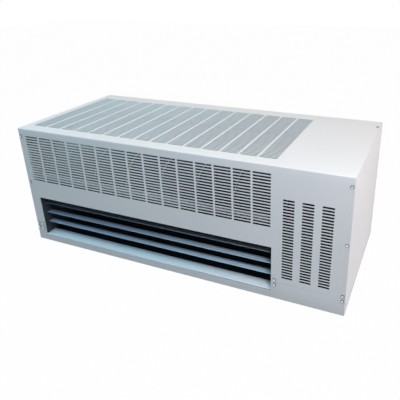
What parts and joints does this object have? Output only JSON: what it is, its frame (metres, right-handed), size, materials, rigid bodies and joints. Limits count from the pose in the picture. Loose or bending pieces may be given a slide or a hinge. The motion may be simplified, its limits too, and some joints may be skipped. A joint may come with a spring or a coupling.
{
  "type": "air curtain",
  "caption": "Air curtain: folded steel housing with slotted intakes, a tangential fan, a long outlet with tilting vanes, and a vented motor and wiring bay.",
  "frame": {"origin": "middle of the resting face, which is the side that goes against the wall", "axes": "+X along the housing with the motor bay at its end, -Y out of the air outlet, +Z out of the wall"},
  "size_m": [1.07, 0.47, 0.4095],
  "materials": {
    "painted_sheet": "light grey powder coat, satin",
    "outlet_paint": "pale blue-grey paint, satin",
    "zinc_sheet": "galvanised sheet",
    "fan_steel": "galvanised rotor sheet",
    "shaft_steel": "ground bright steel",
    "screw_zinc": "zinc plated screws",
    "black_rubber": "matt black rubber",
    "cast_metal": "painted cast motor housing",
    "grey_plastic": "moulded grey plastic",
    "cream_plastic": "moulded cream plastic",
    "can_aluminium": "drawn aluminium can"
  },
  "bodies": {
    "housing": {"base_panel": "painted_sheet", "back_panel": "painted_sheet", "side_panel_left": "painted_sheet", "side_panel_right": "painted_sheet", "cover": "painted_sheet", "fan_end_plate": "zinc_sheet", "bay_partition": "zinc_sheet", "scroll_plate": "zinc_sheet", "tongue_plate": "outlet_paint", "outlet_lip": "outlet_paint", "ball_bearing": "shaft_steel", "bearing_rubber_ring": "black_rubber", "bearing_housing": "cast_metal", "motor_body": "cast_metal", "terminal_rail": "zinc_sheet", "terminal_block": "cream_plastic", "fan_contactor": "grey_plastic", "motor_capacitor": "can_aluminium", "capacitor_clip": "zinc_sheet", "cable_grommet_1": "black_rubber", "cable_grommet_2": "black_rubber", "motor_buffer_1": "black_rubber", "motor_buffer_2": "black_rubber", "motor_buffer_3": "black_rubber", "motor_buffer_4": "black_rubber", "front_screw_1": "screw_zinc", "front_screw_2": "screw_zinc", "front_screw_3": "screw_zinc", "front_screw_4": "screw_zinc", "front_screw_5": "screw_zinc", "front_screw_6": "screw_zinc", "front_screw_7": "screw_zinc", "front_screw_8": "screw_zinc", "front_screw_9": "screw_zinc", "front_screw_10": "screw_zinc", "front_screw_11": "screw_zinc", "front_screw_12": "screw_zinc", "top_screw_1": "screw_zinc", "top_screw_2": "screw_zinc"},
    "rotor": {"fan_rotor": "fan_steel", "rotor_stub_shaft": "shaft_steel", "motor_shaft": "shaft_steel"},
    "vane_low": {"vane_1": "outlet_paint"},
    "vane_mid": {"vane_2": "outlet_paint"},
    "vane_high": {"vane_3": "outlet_paint"}
  },
  "joints": [
    {"name": "rotor_spin", "type": "hinge", "parent": "housing", "child": "rotor", "pos_m": [0, -0.0975, 0.236], "axis": [1, 0, 0], "continuous": true},
    {"name": "vane_low_tilt", "type": "hinge", "parent": "housing", "child": "vane_low", "pos_m": [0, -0.1995, 0.0635], "axis": [1, 0, 0], "range_deg": [-25, 25]},
    {"name": "vane_mid_tilt", "type": "hinge", "parent": "housing", "child": "vane_mid", "pos_m": [0, -0.1995, 0.0994], "axis": [1, 0, 0], "range_deg": [-25, 25]},
    {"name": "vane_high_tilt", "type": "hinge", "parent": "housing", "child": "vane_high", "pos_m": [0, -0.1995, 0.1353], "axis": [1, 0, 0], "range_deg": [-25, 25]}
  ]
}
